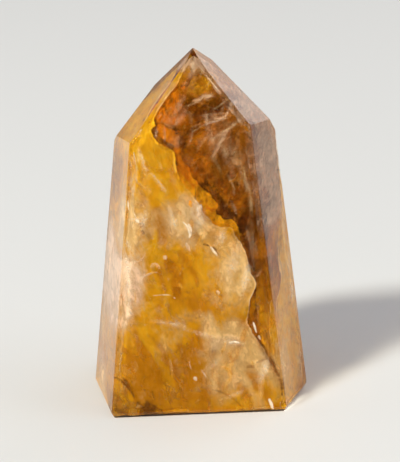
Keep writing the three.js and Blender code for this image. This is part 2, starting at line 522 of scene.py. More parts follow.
RUST = [
    ((-5, -9, 63.8), (4, 6, 4), 1),
    ((-0.6, -12, 52.6), (3.4, 6, 5), 1.2),
    ((-3, -5, 69.4), (2, 5, 2.4), 0.9),
    ((3, -11, 58.8), (3, 5, 1.3), 0.6),
    ((7, -12.5, 44.6), (1.6, 5, 1.8), 1),
    ((12.6, -13, 34.4), (1.8, 5, 2.4), 0.7),
    ((16, -9, 40), (3, 7, 3.6), 0.7),
]


def clouded(points, clouds):
    """Sum of the soft clouds at each point."""
    total = np.zeros(len(points))
    for centre, radii, strength in clouds:
        reach = np.linalg.norm((points - centre) / radii, axis=1)
        fade = np.clip(CLOUD_EDGE - reach, 0, 1)
        total += strength * fade * fade * (3 - 2 * fade)
    return total


def streaked(points, kind):
    """How strongly the streaks of one kind show at each point; they stay near the front."""
    soft_edge, deepest, fade = 1.7, 6.0, 3.0
    moved = stirred(points, 1.8, 0.4, 37)
    total = np.zeros(len(points))
    for _, strength, half_width, line in (streak for streak in STREAKS if streak[0] == kind):
        away = np.abs(side_of(line, moved[:, 0], moved[:, 2])) / half_width
        total = np.maximum(total, strength * np.clip(soft_edge - away, 0, 1))
    return total * np.clip((deepest - front_depth(points)) / fade, 0, 1)


def golden_layers(points):
    """How milky, pearly, peach, amber and stained each point on the golden side is."""
    wisps = stirred(stirred(points, 9.0, 2.6, 31), 3.0, 1.3, 33)
    near = stirred(points, 4.0, 1.3, 35)
    drawn = drawn_out(wisps)
    unplaced_from, milkiest = 12.0, 1.4
    free = 0.32 + 0.5 * np.clip(front_depth(points) / unplaced_from, 0, 1)
    milk = clouded(wisps, MILK) + streaked(points, "milk")
    pearl = clouded(near, PEARL) + streaked(points, "pearl")
    amber = clouded(wisps, AMBER) + streaked(points, "amber")
    return {
        "milk": milkiest * np.tanh(milk / milkiest) + free * fractal(drawn, 6.0, 4, 41),
        "pearl": pearl + free * fractal(drawn, 7.0, 3, 42) - 0.1,
        "peach": clouded(near, PEACH) + 0.2 * fractal(drawn, 4.0, 2, 43),
        "amber": amber + free * fractal(drawn, 5.0, 4, 45),
        "stain": clouded(stirred(points, 1.8, 0.8, 35), STAIN) + streaked(points, "stain"),
    }


def smoky_layers(points):
    """How hazy, dark, yellow and rusty each point on the smoky side is; the darkness holds a painted shadow
    along the rim, the haze a painted reflection on the right facets.
    """
    height = points[:, 2]
    lip = within_rim(points[:, 0], height) + 0.6 * fractal(points, 2.0, 2, 69)
    # Painted shadow: a band of umber just outside the rim's lip, where the rim would shade the smoky veils;
    # it fades in from 29 to 33 mm and out from 51 to 56 mm.
    painted_rim_shadow = by_height(height, [(44, 1.4), (50, 0.7)]) * np.exp(-(((lip + 0.5) / 0.6) ** 2))
    painted_rim_shadow *= np.clip((height - 29) / 4, 0, 1) * np.clip((56 - height) / 5, 0, 1)
    wisps = stirred(stirred(points, 7.0, 2.0, 51), 2.4, 1.1, 53)
    drawn = drawn_out(wisps, SMOKY_LEAN)
    skin_thickness = 2.2
    skin = (REACHES - points @ NORMALS.T).min(axis=1) < skin_thickness
    # Painted reflection: mauve haze in the skin under the right facets above 34 mm, standing in for their
    # reflection of the pale floor.
    painted_side_reflection = 1.5 * (skin & under_right(points)) * np.clip((height - 34) / 6, 0, 1)
    haze = clouded(wisps, HAZE_AND_PAINTED_REFLECTION) + painted_side_reflection + streaked(points, "haze")
    umber = clouded(wisps, UMBER) + painted_rim_shadow + streaked(points, "umber")
    return {
        "haze": haze + 0.35 * fractal(drawn, 4.0, 3, 61),
        "umber": umber + 0.6 * fractal(drawn, 3.4, 4, 63),
        "yellow": clouded(wisps, YELLOW) + 0.3 * fractal(drawn, 5.0, 3, 65),
        "rust": clouded(wisps, RUST) + 0.25 * fractal(drawn, 3.0, 3, 67) - 0.1,
    }


# ---- shader wiring ---------------------------------------------------------------------


class Wiring:
    """Short hand for building a material's node tree."""

    def __init__(self, name):
        self.material = bpy.data.materials.new(name)
        self.material.use_nodes = True
        self.tree = self.material.node_tree
        self.tree.nodes.clear()
        self.output = self.node("ShaderNodeOutputMaterial")

    def node(self, kind, inputs=None, **settings):
        made = self.tree.nodes.new(kind)
        for key, value in settings.items():
            setattr(made, key, value)
        for key, value in (inputs or {}).items():
            self.feed(made.inputs[key], value)
        return made

    def feed(self, socket, value):
        if isinstance(value, bpy.types.NodeSocket):
            self.tree.links.new(value, socket)
        elif socket.type == "RGBA" and len(value) == 3:
            socket.default_value = (*value, 1)
        else:
            socket.default_value = value

    def maths(self, operation, first, second=0.0):
        return self.node("ShaderNodeMath", {0: first, 1: second}, operation=operation).outputs[0]

    def product(self, *values):
        total = values[0]
        for value in values[1:]:
            total = self.maths("MULTIPLY", total, value)
        return total

    def vector(self, operation, first, second):
        made = self.node("ShaderNodeVectorMath", {0: first, 1: second}, operation=operation)
        return made.outputs["Vector"]

    def step(self, value, low, high, bottom=0.0, top=1.0):
        """Rises smoothly from bottom to top as value goes from low to high."""
        made = self.node(
            "ShaderNodeMapRange",
            {"Value": value, "From Min": low, "From Max": high, "To Min": bottom, "To Max": top},
            interpolation_type="SMOOTHSTEP",
        )
        return made.outputs["Result"]

    def blend(self, factor, first, second, way="MIX"):
        inputs = {0: factor, 6: first, 7: second}
        return self.node("ShaderNodeMix", inputs, data_type="RGBA", blend_type=way).outputs[2]

    def grain(self, place, scale, detail=4.0, roughness=0.55, distortion=0.0):
        values = {"Vector": place, "Scale": scale, "Detail": detail}
        values.update({"Roughness": roughness, "Distortion": distortion})
        return self.node("ShaderNodeTexNoise", values).outputs["Fac"]

    def layer(self, name):
        return self.node("ShaderNodeAttribute", attribute_name=name).outputs["Fac"]

    def mix(self, factor, first, second):
        return self.node("ShaderNodeMixShader", {0: factor, 1: first, 2: second}).outputs[0]


def grains_of(wiring, lean=GOLDEN_LEAN, side_stretch=0.55):
    """Wisps, leaning streaks, soft grain and threads that every inclusion shares, each 0 to 1."""
    place = wiring.node("ShaderNodeTexCoord").outputs["Object"]
    place = wiring.vector("MULTIPLY", place, (1 / MM, side_stretch / MM, 1 / MM))
    turn = {"Vector": place, "Axis": (0, 1, 0), "Angle": math.radians(lean)}
    turned = wiring.node("ShaderNodeVectorRotate", turn).outputs[0]
    drawn = wiring.vector("MULTIPLY", turned, (1.0, 1.0, 0.45))
    wisp = wiring.grain(place, 0.26, 5.0, 0.58, 0.8)
    streak = wiring.grain(drawn, 0.6, 6.0, 0.62, 1.2)
    soft = wiring.grain(place, 1.1, 4.0, 0.6, 0.8)
    line = wiring.grain(drawn, 0.28, 4.0, 0.5, 1.4)
    from_thread = wiring.maths("ABSOLUTE", wiring.maths("SUBTRACT", line, 0.5))
    thread = wiring.step(from_thread, 0.0, 0.02, 1.0, 0.0)
    return wisp, streak, soft, thread


def swung(wiring, value, *swings):
    """The value pushed up and down by (noise of 0 to 1, amount) pairs."""
    for noise, amount in swings:
        push = wiring.maths("MULTIPLY", wiring.maths("SUBTRACT", noise, 0.5), amount)
        value = wiring.maths("ADD", value, push)
    return value


def laid_over(wiring, colour, *coats):
    """The colour under coats of (layer, low, high, most, tint): each comes in from low to high."""
    for layer, low, high, most, tint in coats:
        colour = wiring.blend(wiring.step(layer, low, high, 0.0, most), colour, tint)
    return colour


def shaded(wiring, colour, shade):
    """The colour made lighter or darker."""
    grey = wiring.node("ShaderNodeCombineColor", {0: shade, 1: shade, 2: shade}).outputs[0]
    return wiring.blend(1.0, colour, grey, "MULTIPLY")


def inclusion_surface(wiring, colour, cover, relief, through=(1, 1, 1), light_behind=0.25, depth=0.25):
    """Grains that scatter light forwards and back, with clear quartz between them."""
    bump = {"Strength": 1.0, "Distance": depth * MM, "Height": relief}
    rough = wiring.node("ShaderNodeBump", bump).outputs[0]
    front = wiring.node("ShaderNodeBsdfDiffuse", {"Color": colour, "Normal": rough}).outputs[0]
    back = wiring.node("ShaderNodeBsdfTranslucent", {"Color": colour, "Normal": rough}).outputs[0]
    grains = wiring.mix(light_behind, front, back)
    clear = wiring.node("ShaderNodeBsdfTransparent", {"Color": through}).outputs[0]
    wiring.feed(wiring.output.inputs["Surface"], wiring.mix(cover, clear, grains))


# ---- sizes and colours -----------------------------------------------------------------


def colour_property(name, description, default):
    return FloatVectorProperty(
        name=name, description=description, default=default, size=3, subtype="COLOR", min=0.0, max=1.0
    )


def number_property(name, description, default, least=0.0, unit="NONE"):
    return FloatProperty(name=name, description=description, default=default, min=least, unit=unit)


def length_property(name, description, millimetres):
    return number_property(name, description, millimetres * MM, unit="LENGTH")


def count_property(name, description, default):
    return IntProperty(name=name, description=description, default=default, min=1)


def power_property(name, description, default):
    return number_property(name, description, default, unit="POWER")


def angle_property(name, description, degrees):
    angle = math.radians(degrees)
    return FloatProperty(name=name, description=description, default=angle, unit="ROTATION")


class QuartzColours(bpy.types.PropertyGroup):
    gold: colour_property("Gold", "Iron oxide gold of the curtain", (0.82, 0.405, 0.010))
    straw: colour_property("Straw", "Lighter streaks of the gold", (0.91, 0.55, 0.03))
    milk: colour_property("Milk", "Milky quartz", (0.80, 0.57, 0.27))
    pearl: colour_property("Pearl", "Greyer milky quartz round the fresh fractures", (0.78, 0.58, 0.34))
    peach: colour_property("Peach", "Pale cloud on the left side", (0.82, 0.61, 0.44))
    amber: colour_property("Amber", "Amber stain", (0.57, 0.23, 0.006))
    stain: colour_property("Stain", "Brown of the stained cracks and of the foot", (0.17, 0.058, 0.010))
    # Umber is also the colour of the painted shadows along the outside of the rim.
    umber: colour_property("Umber", "Smoky brown behind the break", (0.055, 0.014, 0.002))
    bronze: colour_property("Bronze", "Brown gold behind the break", (0.50, 0.165, 0.006))
    honey: colour_property("Honey", "Bright honey of the thin golden parts", (0.90, 0.42, 0.012))
    rust: colour_property("Rust", "Orange rust of the broken rim", (0.64, 0.185, 0.006))
    # Haze is also the colour of the painted reflection on the right facets.
    haze: colour_property("Haze", "Mauve haze over the smoky zone", (0.52, 0.35, 0.23))
    # Frost is also the painted glint on the fresh fractures and strewn glints.
    frost_and_glint: colour_property("Frost", "White of the fresh fractures", (0.98, 0.92, 0.80))
    body: colour_property("Body", "Faint golden tint of the clear quartz", (0.98, 0.80, 0.40))


class QuartzSizes(bpy.types.PropertyGroup):
    curtain_depth: length_property("Curtain depth", "Depth of the first curtain under the facets", 1.4)
    curtain_pitch: length_property("Curtain pitch", "Spacing of the points of the first curtain", 0.42)
    rim_depth: length_property("Rim depth", "Depth of the broken rim under the facets", 1.9)
    rim_pitch: length_property("Rim pitch", "Spacing of the points of the broken rim", 0.3)
    haze_depth: length_property("Haze depth", "Depth of the haze under the facets", 1.1)
    veil_pitch: length_property("Veil pitch", "Spacing of the points of the haze", 0.5)
    crack_depth: length_property("Crack depth", "Depth of the fresh fractures under the front", 0.9)
    golden_drapes: count_property("Golden drapes", "Number of tall healed fractures in the gold", 130)
    golden_flakes: count_property("Golden flakes", "Number of small healed fractures in the gold", 520)
    smoky_drapes: count_property("Smoky drapes", "Number of tall healed fractures in the smoke", 60)
    smoky_flakes: count_property("Smoky flakes", "Number of small healed fractures in the smoke", 420)
    golden_glints: count_property("Golden glints", "Number of strewn glints in the gold", 130)
    smoky_glints: count_property("Smoky glints", "Number of strewn glints in the smoke", 30)
    ior: number_property("IOR", "Index of refraction of quartz", 1.544, 1.0)
    density: number_property("Density", "How strongly the body tints light", 20.0)


class QuartzStage(bpy.types.PropertyGroup):
    key_power: power_property("Key power", "Power of the soft lamp on the left", 40.0)
    back_power: power_property("Back power", "Power of the panel behind the crystal", 6.0)
    right_power: power_property("Right power", "Power of the panel on the right", 8.0)
    sky_strength: number_property("Sky strength", "Strength of the even light", 0.34)
    sky_colour: colour_property("Sky colour", "Colour of the even light", (0.97, 0.97, 1.0))
    floor_colour: colour_property("Floor colour", "Colour of the floor", (0.72, 0.72, 0.73))
    azimuth: angle_property("Azimuth", "Direction the camera looks from, 0 in front", -4.65)
    elevation: angle_property("Elevation", "Height the camera looks from", 18.9)
    lens: number_property("Lens", "Focal length of the camera", 166.4, 1.0, "CAMERA")


def colours():
    return bpy.context.scene.quartz_colours


def sizes():
    return bpy.context.scene.quartz_sizes


def millimetres(name):
    """One of the sizes, in mm."""
    return round(getattr(sizes(), name) / MM, 4)


# ---- the curtain -----------------------------------------------------------------------


def curtain_material(name, least, most, deepen):
    """Golden and milky grains that cover from least to most of the sheet; deepen turns milk to amber."""
    wiring = Wiring(name)
    wisp, streak, soft, thread = grains_of(wiring)
    tints = colours()
    milk = swung(wiring, wiring.layer("milk"), (wisp, 1.3), (streak, 1.2), (soft, 0.5))
    pearl = swung(wiring, wiring.layer("pearl"), (streak, 1.6), (soft, 1.2))
    amber = swung(wiring, wiring.layer("amber"), (streak, 2.2), (wisp, -1.0), (soft, 0.4))
    peach = swung(wiring, wiring.layer("peach"), (streak, 1.4), (soft, 0.4))
    stain = swung(wiring, wiring.layer("stain"), (streak, 1.6), (soft, 1.4))
    colour = wiring.blend(wiring.step(streak, 0.4, 0.64), tints.gold, tints.straw)
    colour = laid_over(wiring, colour, (amber, -deepen, 1.1 - deepen, 1.0, tints.amber))
    colour = wiring.blend(wiring.maths("MULTIPLY", thread, 0.35), colour, tints.amber)
    colour = laid_over(
        wiring,
        colour,
        (milk, 0.05 + deepen, 1.25 + deepen, 0.88, tints.milk),
        (pearl, 0.2 + deepen, 1.4 + deepen, 0.9, tints.pearl),
        (peach, 0.1, 1.2, 1.0, tints.peach),
        (stain, 0.2, 1.3, 0.9, tints.stain),
    )
    shade = wiring.product(
        wiring.step(soft, 0.3, 0.7, 0.92, 1.06),
        wiring.step(wisp, 0.3, 0.7, 0.86, 1.12),
        wiring.step(streak, 0.35, 0.65, 0.86, 1.08),
    )
    body = wiring.maths("ADD", wisp, wiring.maths("MULTIPLY", streak, 0.6))
    cover = wiring.step(body, 0.6, 1.0, most, least)
    cover = wiring.maths("MAXIMUM", cover, wiring.step(milk, 0.3, 1.5, 0.0, most))
    cover = wiring.maths("MAXIMUM", cover, wiring.step(peach, 0.4, 1.2, 0.0, most))
    edge = swung(wiring, wiring.layer("from_break"), (soft, 0.5))
    lip = wiring.product(wiring.step(edge, 0.02, 0.3, 0.55, 0.0), wiring.layer("crisp"))
    cover = wiring.maths("MAXIMUM", cover, wiring.step(edge, 0.3, 1.2, 0.95, 0.0))
    cover = wiring.product(cover, wiring.step(edge, 0.0, 0.15 + deepen))
    colour = wiring.blend(lip, shaded(wiring, colour, shade), tints.frost_and_glint)
    inclusion_surface(wiring, colour, cover, body, depth=0.22)
    return wiring.material


class QUARTZ_OT_curtain(bpy.types.Operator):
    """Hangs the golden, milky curtain just under the facets, up to the break"""

    bl_idname = "quartz.curtain"
    bl_label = "Golden curtain"

    def execute(self, context):
        first, pitch = millimetres("curtain_depth"), millimetres("curtain_pitch")
        overhang, crisp_below, crisp_fade = 0.9, 41.0, 4.0
        plans = ((0.0, 1.0, 0.35, 0.9, 0.0), (2.2, 1.6, 0.5, 0.95, 0.3), (5.1, 2.0, 0.8, 1.0, 0.5))
        for number, (deeper, relief, least, most, deepen) in enumerate(plans):
            name = f"golden_curtain_{number + 1}"
            bumps = ((8.0, relief, 71 + number), (2.8, 0.3, 75 + number))
            points, faces = shell(first + deeper, pitch + 0.12 * number, bumps)
            edge = from_break(points) - 0.25 * number
            used, faces = trimmed(faces, edge > -overhang)
            layers = golden_layers(points[used])
            layers["from_break"] = edge[used]
            layers["crisp"] = np.clip((crisp_below - points[used, 2]) / crisp_fade, 0, 1)
            material = curtain_material(name, least, most, deepen)
            mesh_piece(name, points[used], faces, material, layers)
        return {"FINISHED"}


class QUARTZ_OT_foot_veil(bpy.types.Operator):
    """Lays the golden veil over the foot"""

    bl_idname = "quartz.foot_veil"
    bl_label = "Foot veil"

    def execute(self, context):
        name, height, inset, pitch, lowest = "foot_veil", 0.9, 0.45, 0.6, 0.55
        across, along = np.arange(-24, 24, pitch), np.arange(-18.6, 18.6, pitch)
        x, y = (part.ravel() for part in np.meshgrid(across, along))
        points = np.stack([x, y, np.full(len(x), height)], axis=1)
        points[:, 2] += np.maximum(0.4 * fractal(points, 4.0, 3, 78), lowest - height)
        layers = golden_layers(points)
        layers["from_break"] = from_break(points) + 4.0
        layers["crisp"] = np.ones(len(points))
        material = curtain_material(name, 0.8, 1.0, 0.0)
        piece = mesh_piece(name, points, grid_faces(len(along), len(across)), material, layers)
        trim_to_crystal(piece, inset)
        corners = np.array([corner.co for corner in piece.data.vertices]) / MM
        piece.data.vertices.foreach_set("co", (pressed_inside(corners) * MM).ravel())
        return {"FINISHED"}


# ---- behind the break ------------------------------------------------------------------


def smoky_material(name, least, most, through):
    """Bronze and umber grains with a mauve haze, that cover from least to most of the sheet; the umber
    holds a painted shadow along the rim, the haze a painted reflection on the right facets.
    """
    wiring = Wiring(name)
    wisp, streak, soft, thread = grains_of(wiring, SMOKY_LEAN, 0.35)
    tints = colours()
    umber = swung(wiring, wiring.layer("umber"), (wisp, 1.5), (streak, 1.1), (soft, 0.6))
    yellow = swung(wiring, wiring.layer("yellow"), (streak, 1.1), (soft, 0.4))
    haze = swung(wiring, wiring.layer("haze"), (streak, 1.3), (wisp, 0.7), (soft, 0.4))
    rust = swung(wiring, wiring.layer("rust"), (wisp, 0.9), (soft, 0.5))
    colour = wiring.blend(wiring.step(umber, 0.1, 0.9), tints.bronze, tints.umber)
    colour = laid_over(
        wiring,
        colour,
        (yellow, 0.2, 1.0, 1.0, tints.honey),
        (rust, 0.3, 0.9, 1.0, tints.rust),
        (haze, 0.4, 2.2, 0.95, tints.haze),
    )
    colour = wiring.blend(wiring.maths("MULTIPLY", thread, 0.4), colour, tints.rust)
    body = wiring.maths("ADD", wisp, wiring.maths("MULTIPLY", streak, 0.8))
    cover = wiring.step(body, 0.7, 1.1, least, most)
    cover = wiring.maths("MAXIMUM", cover, wiring.step(haze, 0.5, 2.4, 0.0, 0.9))
    shade = wiring.product(
        wiring.step(soft, 0.3, 0.7, 0.8, 1.12),
        wiring.step(wisp, 0.3, 0.7, 0.75, 1.15),
        wiring.step(streak, 0.35, 0.65, 0.8, 1.1),
    )
    edge = swung(wiring, wiring.layer("from_break"), (soft, 0.4))
    cover = wiring.product(cover, wiring.step(edge, 0.2, 1.2, 1.0, 0.0))
    inclusion_surface(wiring, shaded(wiring, colour, shade), cover, body, through, depth=0.3)
    return wiring.material


class QUARTZ_OT_smoky_veils(bpy.types.Operator):
    """Hangs the smoky amber veils behind the break"""

    bl_idname = "quartz.smoky_veils"
    bl_label = "Smoky amber veils"

    def execute(self, context):
        first, pitch = millimetres("haze_depth"), millimetres("veil_pitch")
        clear, warm, overhang = (1, 1, 1), (0.97, 0.85, 0.65), 1.6
        plans = (
            ("smoky_haze", 0.0, 0.8, 0.0, 0.4, clear),
            ("smoky_veil_1", 1.9, 1.6, 0.15, 0.75, warm),
            ("smoky_veil_2", 4.4, 2.4, 0.4, 0.95, warm),
            ("smoky_veil_3", 7.4, 2.0, 0.9, 1.0, warm),
        )
        for number, (name, deeper, relief, least, most, through) in enumerate(plans):
            bumps = ((7.0, relief, 81 + number), (2.2, 0.45, 85 + number))
            points, faces = shell(first + deeper, pitch + 0.07 * number, bumps)
            edge = from_break(points)
            used, faces = trimmed(faces, edge < overhang)
            layers = smoky_layers(points[used])
            layers["from_break"] = edge[used]
            material = smoky_material(name, least, most, through)
            mesh_piece(name, points[used], faces, material, layers)
        return {"FINISHED"}


def rim_material():
    """Rust at the top of the rim, turning to bright gold lower down, with a painted shadow of umber along
    its outer lip.
    """
    wiring = Wiring("broken_rim")
    wisp, streak, soft, thread = grains_of(wiring)
    tints = colours()
    rust = swung(wiring, wiring.layer("rust"), (wisp, 1.2), (streak, 1.6), (soft, 1.2))
    colour = wiring.blend(wiring.step(rust, 0.05, 0.7), tints.honey, tints.rust)
    colour = wiring.blend(wiring.step(rust, 0.9, 1.5, 0.0, 0.85), colour, tints.umber)
    colour = wiring.blend(wiring.maths("MULTIPLY", thread, 0.5), colour, tints.amber)
    outer = swung(wiring, wiring.layer("from_lip"), (soft, 0.7), (wisp, 0.5))
    # Painted shadow: umber along the outer lip, where the rim would shade what lies behind it.
    dark_lip = wiring.layer("dark_lip")
    colour = wiring.blend(wiring.step(outer, 0.0, 0.3, dark_lip, 0.0), colour, tints.umber)
    shade = wiring.product(
        wiring.step(soft, 0.3, 0.7, 0.9, 1.2),
        wiring.step(streak, 0.3, 0.7, 0.88, 1.15),
    )
    fade = wiring.step(outer, -0.1, wiring.step(dark_lip, 0.2, 0.8, 1.6, 0.0))
    cover = wiring.product(fade, wiring.step(wisp, 0.3, 0.5, 1.0, 0.85))
    relief = wiring.maths("ADD", wisp, wiring.maths("MULTIPLY", soft, 0.5))
    inclusion_surface(wiring, shaded(wiring, colour, shade), cover, relief, depth=0.7)
    return wiring.material


class QUARTZ_OT_broken_rim(bpy.types.Operator):
    """Adds the lumpy golden rim that stands out past the break, from the rusty knob down"""

    bl_idname = "quartz.broken_rim"
    bl_label = "Broken rim"

    def execute(self, context):
        bumps = ((4.0, 1.4, 91), (1.5, 0.9, 92))
        points, faces = shell(millimetres("rim_depth"), millimetres("rim_pitch"), bumps)
        x, z = points[:, 0], points[:, 2]
        ragged = fractal(points, 1.6, 3, 93) * 0.35
        lip = np.where(points[:, 1] < -2.0, within_rim(x, z) + ragged, -9.0)
        lip = np.minimum(lip, (z - 33.0) * 0.6)
        used, faces = trimmed(faces, (lip > -0.8) & (from_break(points) < 2.5))
        points, z = points[used], z[used]
        rust = np.clip((z - 45.0) / 12.0, -0.2, 0.8) + streaked(points, "chip")
        layers = {
            "from_lip": lip[used],
            # Painted shadow along the lip: full from 39 to 52 mm, gone above 56 mm, a third of it below 36
            # mm.
            "dark_lip": np.clip((56.0 - z) / 4.0, 0, 1) * np.clip((z - 36.0) / 3.0, 0.3, 1),
            "rust": rust + 0.3 * fractal(points, 2.4, 3, 95),
        }
        mesh_piece("broken_rim", points, faces, rim_material(), layers)
        return {"FINISHED"}


# ---- small healed fractures ------------------------------------------------------------

RIBBON_COLUMNS = 5
PILE_DEPTH = 0.35  # mm that the small pieces keep under the broad facets
STREWN_AT_ONCE = 4000


def flake(centre, facing, turn, half_width, half_height, curl, seed, across_count, up_count):
    """Points of a small curled sheet, how far in from its outline each lies, and how far across."""
    normal = Vector(facing).normalized()
    across = Vector((0, 0, 1)).cross(normal)
    across = across.normalized() if across.length > 0.1 else Vector((1, 0, 0))
    upwards = normal.cross(across)
    across, upwards = (
        across * math.cos(turn) + upwards * math.sin(turn),
        upwards * math.cos(turn) - across * math.sin(turn),
    )
    spread = np.meshgrid(np.linspace(-1, 1, across_count), np.linspace(-1, 1, up_count))
    u, v = (part.ravel() for part in spread)
    local = np.stack([u * half_width, v * half_height, curl * (u * u + 0.4 * v * v)], axis=1)
    local[:, 2] += fractal(local + centre, 0.6 * half_width + 0.5, 2, seed) * 0.2 * half_width
    points = np.array(centre) + local @ np.array([across, upwards, normal])
    return points, 1 - np.hypot(u, v), u


def ribbon(line, half_width, depth):
    """What flake gives, for a tapered ribbon that follows a line behind the front facets."""
    x, z = np.array(line).T
    run, pitch, smoothings = run_along(x, z), 0.15, 3
    along = np.linspace(0, run[-1], 4 + int(run[-1] / pitch))
    x, z = np.interp(along, run, x), np.interp(along, run, z)
    for _ in range(smoothings):
        for part in (x, z):
            part[1:-1] = (part[:-2] + 2 * part[1:-1] + part[2:]) / 4
    slope_x, slope_z = np.gradient(x), np.gradient(z)
    length = np.hypot(slope_x, slope_z) + 1e-9
    taper = np.sin(np.linspace(0.12, 0.95, len(x)) * math.pi) ** 0.6
    u = np.tile(np.linspace(-1, 1, RIBBON_COLUMNS), len(x))
    wide = np.repeat(half_width * taper, RIBBON_COLUMNS) * u
    x = np.repeat(x, RIBBON_COLUMNS) - wide * np.repeat(slope_z / length, RIBBON_COLUMNS)
    z = np.repeat(z, RIBBON_COLUMNS) + wide * np.repeat(slope_x / length, RIBBON_COLUMNS)
    points = [behind_front(*spot) for spot in zip(x, z, depth + 0.5 * half_width * u**2)]
    return np.array(points), 1 - 0.9 * np.abs(u), 0.5 + 0.5 * u


class Pile:
    """Flakes and ribbons gathered into one mesh."""

    def __init__(self):
        self.points, self.faces, self.size = [], [], 0
        self.layers = {"inner": [], "across": [], "tint": []}

    def add(self, tint, *shape, across_count=8, up_count=10):
        self.add_sheet(tint, *flake(*shape, across_count, up_count), across_count)

    def add_ribbon(self, tint, line, half_width, depth):
        self.add_sheet(tint, *ribbon(line, half_width, depth), RIBBON_COLUMNS)

    def add_sheet(self, tint, points, inner, across, columns):
        for normal, reach in zip(NORMALS, REACHES):
            points -= np.outer(np.maximum(points @ normal - reach + PILE_DEPTH, 0), normal)
        self.points.append(points)
        self.faces.append(grid_faces(len(points) // columns, columns) + self.size)
        values = {"inner": inner, "across": across, "tint": np.full(len(across), tint)}
        for layer, parts in self.layers.items():
            parts.append(values[layer])
        self.size += len(points)

    def piece(self, name, material):
        layers = {layer: np.concatenate(values) for layer, values in self.layers.items()}
        points = pressed_inside(np.concatenate(self.points))
        return mesh_piece(name, points, np.concatenate(self.faces), material, layers)


def strewn_spots(rng, count, golden, least_depth, most_depth):
    """Random places in the golden or the smoky part, so deep (mm) under the nearest facet."""
    spots = np.zeros((0, 3))
    while len(spots) < count:
        tries = rng.uniform((-23, -18, 1), (23, 18, 72), (STREWN_AT_ONCE, 3))
        depth = (REACHES - tries @ NORMALS.T).min(axis=1)
        zone = from_break(tries) > 0.8 if golden else from_break(tries) < -0.5
        spots = np.concatenate([spots, tries[(depth > least_depth) & (depth < most_depth) & zone]])
    return spots[:count]


def flake_material(name, dark, middle, pale, most, feather=0.5, ragged=0.6, clearest=1.0):
    """Feathered flakes, sharp along one side; the tint layer runs from dark to pale."""
    wiring = Wiring(name)
    wisp, streak, soft, _ = grains_of(wiring)
    place = wiring.node("ShaderNodeTexCoord").outputs["Object"]
    fine = wiring.grain(place, 2.6 / MM, 4.0, 0.6, 0.6)
    tint = swung(wiring, wiring.layer("tint"), (streak, 0.5))
    colour = wiring.blend(wiring.step(tint, 0.1, 0.5), dark, middle)
    colour = wiring.blend(wiring.step(tint, 0.5, 0.95), colour, pale)
    inner = swung(wiring, wiring.layer("inner"), (wisp, 0.6), (soft, ragged), (fine, ragged))
    side = swung(wiring, wiring.layer("across"), (fine, ragged))
    cover = wiring.product(
        wiring.step(inner, 0.1, 0.1 + feather),
        wiring.step(side, -0.7, 0.8),
        wiring.step(streak, 0.35, 0.6, 0.4 * most, most),
        wiring.step(wiring.layer("tint"), 0.2, 0.9, clearest, 1.0),
    )
    inclusion_surface(wiring, colour, cover, soft, depth=0.1)
    return wiring.material


# Pale wisps behind the front: (x, depth under the front, z, half width, half height, turn, tint).
WISPS = [
    (-1.2, 0.9, 65.6, 0.35, 2.6, -1.25, 0.6), (1.6, 0.8, 66.8, 0.3, 2.2, -1.2, 0.6),
    (2.4, 0.9, 62.2, 0.25, 3.4, -1.3, 0.8), (1.2, 0.9, 63.6, 0.2, 1.8, -1.45, 0.6),
    (-0.6, 0.9, 61.2, 0.2, 2.2, -1.15, 0.6), (4.6, 0.9, 65.4, 0.3, 2.6, -1, 0.6),
    (3.2, 0.9, 59.6, 0.2, 2, -1.2, 0.5), (6, 0.9, 61.4, 0.3, 2.8, -1.1, 0.6),
    (0.4, 1, 58.4, 0.2, 2, -0.6, 0.5), (4.4, 1, 57, 0.9, 2.4, 0.5, 0.6),
    (6.8, 1.1, 55, 1.2, 2.8, 0.3, 0.6), (8.6, 1, 51, 0.7, 3.4, 0.15, 0.55),
    (3.2, 1.1, 53.6, 0.5, 2.4, 0.5, 0.5), (6, 1, 50, 0.4, 2.4, 0.4, 0.5),
    (9.8, 1, 46, 0.6, 3.2, 0.1, 0.5), (-0.6, 0.9, 72, 0.5, 1.4, 0.1, 0.7),
    (1, 0.9, 71, 0.4, 1.6, -0.3, 0.6), (2.6, 0.9, 69.4, 0.2, 2.2, -0.5, 0.6),
    (-6.8, 1.2, 42.6, 1.6, 4.2, 0.1, 0.95), (-1.2, 1.2, 43.6, 1.8, 3.6, 0.3, 1),
    (-12.4, 1.1, 43, 1.4, 3, -0.2, 0.9), (3.4, 1.2, 38.6, 1.6, 2.2, -0.4, 0.95),
    (5.6, 1.1, 33, 1.8, 4.6, -0.3, 0.9), (8.4, 1.1, 30, 1.2, 3.8, -0.2, 0.95),
    (-7, 1.1, 20, 1, 4.4, 1.35, 0.8), (-1, 1.1, 17.6, 0.9, 3.8, 1.2, 0.8),
    (5.5, 1, 15.5, 0.9, 2.6, 1.4, 0.95), (-15.8, 1, 23, 0.9, 3.6, 0.15, 0.95),
    (11.6, 1, 9.4, 1.4, 3, -0.3, 0.95), (-16.2, 1, 32, 1.3, 7, 0.02, 1),
    (-15, 1.1, 36, 1, 3, 0.3, 0.95), (1.4, 1.1, 11.4, 1, 2.4, -0.9, 0.8),
    (6, 1, 4.6, 0.8, 2.4, -1.2, 0.85), (-12, 1, 55, 0.8, 3.6, 0.3, 0.8),
    (-9, 1, 50.6, 0.7, 3, 0.6, 0.8), (-14.6, 1, 61, 0.6, 2.4, 0.4, 0.9),
]
